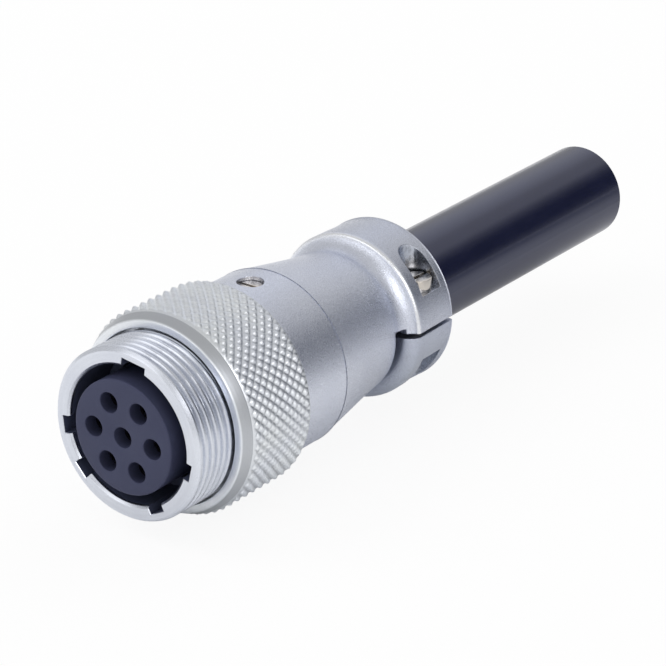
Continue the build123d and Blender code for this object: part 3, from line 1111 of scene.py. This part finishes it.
@dataclass
class SlottedScrews:
    """Slotted cheese-head screws of the clamp, and the grub screw on top of the backshell."""

    head_r: float = 2.35
    head_length: float = 2.0
    head_round: float = 0.16
    seat: float = 5.8
    shank_r: float = 1.3
    shank_end: float = -6.0
    slot_width: float = 0.7
    slot_depth: float = 1.0
    places: tuple[Point, ...] = ((-10.1, 62.65), (10.1, 62.65))
    grub_r: float = 1.98
    grub_round: float = 0.12
    grub_station: float = 31.0
    grub_low: float = 12.3
    grub_top: float = 14.35
    grub_slot: Point = (0.6, 0.8)

    def slotted(self, screw: Piece, top: Corner, slot: Corner, edge: float) -> Piece:
        """Mill the slot of a screw and round its edges.

        Args:
            screw: Screw with a plain head.
            top: Middle of the head's top in mm.
            slot: Size of the slot along the three axes in mm.
            edge: Width of the rounding in mm.

        Returns:
            The finished screw.
        """
        x, y, z = top
        cut(screw, block("slot_cutter", slot, (x, y, z - slot[2] / 2 + 0.001)))
        bevel(screw, edge, 3, 40, True)
        close(screw)
        return screw

    def clamp_screw(self, place: Point) -> Piece:
        """One clamp screw: shank, head with a rounded rim, and a slot.

        Args:
            place: Its (x, y) in mm.

        Returns:
            The screw in its place.
        """
        low, length = (*place, self.shank_end), self.seat - self.shank_end
        screw = rod("clamp_screw", self.shank_r, low, length, 32)
        pick_faces(screw, lambda normal: normal.z > 0.9)
        pull((0, 0, 0))
        grow = self.head_r / self.shank_r
        centre = [part * MM for part in (*place, self.seat)]
        bpy.ops.transform.resize(value=(grow, grow, 1), center_override=centre)
        pull((0, 0, self.head_length))
        clear()
        top = (*place, self.seat + self.head_length)
        slot = (self.slot_width, 3 * self.head_r, self.slot_depth)
        return self.slotted(screw, top, slot, self.head_round)

    def grub_screw(self) -> Piece:
        """The grub screw, its slot across the backshell."""
        low, length = (0, self.grub_station, self.grub_low), self.grub_top - self.grub_low
        screw = rod("grub_screw", self.grub_r, low, length, 40)
        top = (0, self.grub_station, self.grub_top)
        return self.slotted(screw, top, (4 * self.grub_r, *self.grub_slot), self.grub_round)

    def build(self) -> None:
        """Make both clamp screws as one piece, then the grub screw."""
        pair = join("cheese_head_screws", [self.clamp_screw(place) for place in self.places])
        for piece, node in ((pair, "clamp_screws"), (self.grub_screw(), "set_screw")):
            dress(piece, Finish.SCREW)
            smooth(piece, 35)
            hand_over(piece, node)


@dataclass
class SocketInsert:
    """Moulded front insert with seven entry holes, proud of the metal face."""

    front: float = -0.8
    face_r: float = 9.5
    edge: float = 0.3
    shoulder: float = 10.5
    flange_r: float = 11.25
    rear: float = 13.0
    entry_r: float = 1.7
    seat_r: float = 2.2
    lead: float = 0.1
    circle_r: float = 5.79
    first_angle: float = -26.6
    steps: int = 144
    hole_sides: int = 48

    def outline(self) -> list[Point]:
        """Section of the insert with its middle hole."""
        return rounded(
            (self.rear, self.seat_r, 0),
            (self.shoulder, self.seat_r, 0),
            (self.shoulder, self.entry_r, 0),
            (self.front, self.entry_r, self.lead),
            (self.front, self.face_r, self.edge),
            (self.shoulder, self.face_r, 0),
            (self.shoulder, self.flange_r, 0),
            (self.rear, self.flange_r, 0),
        )

    def hole_cutter(self, x: float, z: float) -> Piece:
        """Stepped cutter of one outer hole with a lead-in at the face, its middle at (x, z)."""
        before, behind = self.front - 1, self.rear + 1
        outline = [
            (before, 0.0),
            (before, self.entry_r + 1 + self.lead),
            (self.front + self.lead, self.entry_r),
            (self.shoulder, self.entry_r),
            (self.shoulder, self.seat_r),
            (behind, self.seat_r),
            (behind, 0.0),
        ]
        cutter = turned("hole_cutter", outline, self.hole_sides)
        cutter.location = (x * MM, 0, z * MM)
        settle(cutter)
        return cutter

    def build(self) -> None:
        """Turn the insert and drill its outer holes."""
        insert = turned("socket_insert", self.outline(), self.steps)
        for place in on_circle(self.circle_r, 6, self.first_angle):
            cut(insert, self.hole_cutter(*place))
        close(insert)
        dress(insert, Finish.INSERT)
        smooth(insert, 32)
        hand_over(insert, "insert_front")


@dataclass
class StrandedWires:
    """Copper strands that show at the cut end of the cable."""

    circle_r: float = 4.5
    first_angle: float = -26.6
    cable_end: float = 129.2
    length: float = 4.0
    overlap: float = 0.5
    strand_r: float = 0.235
    strand_sides: int = 10
    tip: Point = (0.06, 0.05)
    rings: tuple[tuple[int, float], ...] = ((6, 0.475), (12, 0.93))
    shear: float = 0.04

    def strand(self) -> Piece:
        """One straight strand with a sheared, slightly rounded tip, ready for copying."""
        inset, rise = self.tip
        low, length = (0, self.cable_end - self.length, 0), self.length - rise
        strand = rod("strand", self.strand_r, low, length, self.strand_sides, level=True)
        pick_faces(strand, lambda normal: normal.y > 0.9)
        bpy.ops.mesh.inset(thickness=inset * MM)
        bpy.ops.transform.translate(value=(0, rise * MM, 0))
        clear()
        return strand

    def rod(self, number: int) -> Piece:
        """The solid part of a numbered conductor, cut back from the cable's end."""
        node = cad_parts[f"conductor_{number}"]
        rod = add(f"conductor_rod_{number}", node.data.copy())
        edit(rod)
        bpy.ops.mesh.remove_doubles(threshold=MERGE)
        end = (self.cable_end - self.length + self.overlap) * MM
        bpy.ops.mesh.bisect(
            plane_co=(0, end, 0), plane_no=(0, 1, 0), use_fill=True, clear_outer=True
        )
        close(rod)
        return rod

    def build(self) -> None:
        """Copy the strand to the end of every conductor."""
        model = self.strand()
        lay = [(0.0, 0.0)]
        for count, radius in self.rings:
            lay += on_circle(radius, count)
        centres = on_circle(self.circle_r, 6, self.first_angle) + [(0.0, 0.0)]
        for number, (x, z) in enumerate(centres, start=1):
            bundle = [self.rod(number)]
            for place, (dx, dz) in enumerate(lay):
                copy = add("strand", model.data.copy())
                short = self.shear * ((place * 7 + number * 3) % 5)
                copy.location = Vector((x + dx, -short, z + dz)) * MM
                settle(copy)
                bundle.append(copy)
            wire = join(f"stranded_conductor_{number}", bundle)
            dress(wire, Finish.COPPER)
            smooth(wire, 40)
            hand_over(wire, f"conductor_{number}")
        bpy.data.objects.remove(model)


class CarriedOver:
    """CAD nodes whose shape stays and which only get their finish."""

    finishes: dict[str, Finish] = {
        "insert_rear": Finish.INSERT,
        "insert_clip": Finish.SPRING,
        "slip_ring": Finish.SPRING,
        "joint_seal": Finish.SEAL,
        "cable_grommet": Finish.SEAL,
        "cable_jacket": Finish.JACKET,
        "cable_filler": Finish.FILLER,
        **{f"socket_contact_{number}": Finish.BRASS for number in range(1, 8)},
        **{f"core_{number}": Finish.CORE_BLACK for number in range(1, 7)},
        "core_7": Finish.CORE_GREEN,
    }

    def build(self) -> None:
        """Dress each node."""
        for name, finish in self.finishes.items():
            dress(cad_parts[name], finish)
            log.info("%s: %s", name, finish.name)


@dataclass(frozen=True)
class Card:
    """A card that only reflections see: its direction, size in metres, brightness and colour."""

    name: str
    way: Corner
    size: Point
    level: float
    tint: Rgb = (1.0, 1.0, 1.0)


@dataclass(frozen=True)
class Lamp:
    """A soft square lamp: where it hangs and its side in metres, and its power in watts."""

    name: str
    place: Corner
    size: float
    watts: float


@dataclass
class Studio:
    """Pale floor, soft lamps, cards for the metal to reflect, and the camera."""

    floor_z: float = -17.3
    floor_size: float = 8.0
    paper: float = 0.91
    # a painted shadow that only reflections see: its centre and fade in metres, and its share of grey
    shadow_patch_centre: Point = (0.30, 0.42)
    shadow_patch_fade: Point = (0.25, 0.46)
    shadow_patch_share: float = 0.75
    camera_at: Corner = (0.2749, -0.3177, 0.2016)
    camera_way: Corner = (-0.54523, 0.73508, -0.40295)
    lens: float = 165.0
    film: float = 36.0
    walls: float = 0.62
    daylight: float = 0.75
    card_distance: float = 1.5
    card_fade: Point = (0.03, 0.9)
    cards: tuple[Card, ...] = (
        Card("dark_card", (0.54, 0.78, 0.26), (1.9, 1.25), 0.06, (0.75, 0.92, 1.4)),
        Card("sky_card", (-0.52, 0.74, 0.62), (1.5, 1.3), 0.84, (0.97, 0.99, 1.05)),
        Card("bright_card", (0.75, -0.45, 0.55), (1.3, 1.0), 3.4),
        Card("front_card", (-0.35, -0.80, 0.60), (1.6, 1.2), 1.7),
    )
    lamps: tuple[Lamp, ...] = (
        Lamp("key_lamp", (-0.7, -0.5, 0.9), size=0.7, watts=4.0),
        Lamp("back_lamp", (0.0, 1.0, 0.95), size=0.9, watts=2.0),
    )

    def floor(self) -> None:
        """Lay the floor: white to the eye, with a soft shadow; reflections see a painted shadow, a
        grey patch.
        """
        clear()
        place = (0, 0, self.floor_z * MM)
        bpy.ops.mesh.primitive_plane_add(size=self.floor_size, location=place)
        floor = bpy.context.object
        floor.name = "studio_floor"
        recipe = Recipe("floor_paper")
        path = recipe.node("LightPath", {}).outputs
        # Painted shadow: glossy rays see the floor grey in a patch near the connector.
        aside = [
            recipe.math("SUBTRACT", axis, middle)
            for axis, middle in zip(recipe.axes(), self.shadow_patch_centre)
        ]
        reflected_shadow = recipe.span(recipe.length(*aside), *self.shadow_patch_fade, self.shadow_patch_share, 0.0)
        reflected_shadow = recipe.math("MULTIPLY", reflected_shadow, path["Is Glossy Ray"])
        colour = recipe.blend(reflected_shadow, (0.95, 0.95, 0.95), (0.16, 0.18, 0.24))
        recipe.set(Base_Color=colour, Roughness=0.9, Specular_IOR_Level=0.0)
        share = recipe.math("MULTIPLY", path["Is Camera Ray"], self.paper)
        inputs = {0: share, 1: recipe.shader.outputs[0], 2: recipe.glow((1.0, 1.0, 1.0))}
        recipe.show(recipe.node("MixShader", inputs).outputs[0])
        floor.data.materials.append(recipe.material)

    def stand(self, card: Card) -> None:
        """Stand a card that fades to the level of the walls at its edge."""
        clear()
        bpy.ops.mesh.primitive_plane_add(size=1)
        made = bpy.context.object
        made.name = card.name
        made.scale = (*card.size, 1)
        made.rotation_euler = (-Vector(card.way)).to_track_quat("Z", "Y").to_euler()
        made.location = Vector(card.way).normalized() * self.card_distance
        recipe = Recipe(card.name + "_cloth")
        sides = []
        for axis in recipe.axes()[:2]:
            out = recipe.math("MULTIPLY", recipe.math("ABSOLUTE", axis), 2)
            sides.append(recipe.math("POWER", out, 2.5))
        edge = recipe.span(recipe.math("ADD", *sides), *self.card_fade)
        middle = tuple(card.level * part for part in card.tint)
        recipe.show(recipe.glow(recipe.blend(edge, middle, (self.walls,) * 3)))
        made.data.materials.append(recipe.material)
        made.visible_camera = made.visible_diffuse = made.visible_shadow = False

    def hang(self, lamp: Lamp) -> None:
        """Hang one lamp that faces the connector."""
        light = bpy.data.lights.new(lamp.name, "AREA")
        light.size, light.energy = lamp.size, lamp.watts
        made = add(lamp.name, light)
        made.location = lamp.place
        way = Vector((0, 0.05, 0)) - Vector(lamp.place)
        made.rotation_euler = way.to_track_quat("-Z", "Y").to_euler()
        made.visible_glossy = False

    def sky(self) -> None:
        """Pale walls all round: grey in reflections, brighter as light."""
        world = bpy.data.worlds.new("studio_world")
        bpy.context.scene.world = world
        world.use_nodes = True
        tree = world.node_tree
        path = tree.nodes.new("ShaderNodeLightPath")
        diffuse = tree.nodes.new("ShaderNodeMapRange")
        tree.links.new(path.outputs["Is Diffuse Ray"], diffuse.inputs[0])
        diffuse.inputs[3].default_value = self.walls
        diffuse.inputs[4].default_value = self.daylight
        back = tree.nodes["Background"]
        back.inputs["Color"].default_value = (1, 1, 1, 1)
        tree.links.new(diffuse.outputs[0], back.inputs["Strength"])

    def camera(self) -> None:
        """Set up the camera of the photo's view."""
        lens = bpy.data.cameras.new("camera")
        lens.lens, lens.sensor_width, lens.clip_start = self.lens, self.film, 0.01
        camera = add("camera", lens)
        camera.location = self.camera_at
        camera.rotation_euler = Vector(self.camera_way).to_track_quat("-Z", "Y").to_euler()
        bpy.context.scene.camera = camera
        bpy.context.scene.view_settings.view_transform = "Standard"

    def build(self) -> None:
        """Set up the table, the light and the camera."""
        self.floor()
        for card in self.cards:
            self.stand(card)
        for lamp in self.lamps:
            self.hang(lamp)
        self.sky()
        self.camera()
        log.info("studio ready")


def main() -> None:
    """Build the studio, then the connector's pieces in order."""
    logging.basicConfig(level=logging.INFO, format="%(message)s")
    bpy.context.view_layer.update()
    Studio().build()
    CouplingBarrel().build()
    KnurlNut().build()
    BackshellCasting().build()
    SlottedScrews().build()
    SocketInsert().build()
    StrandedWires().build()
    CarriedOver().build()


if __name__ == "__main__":
    main()
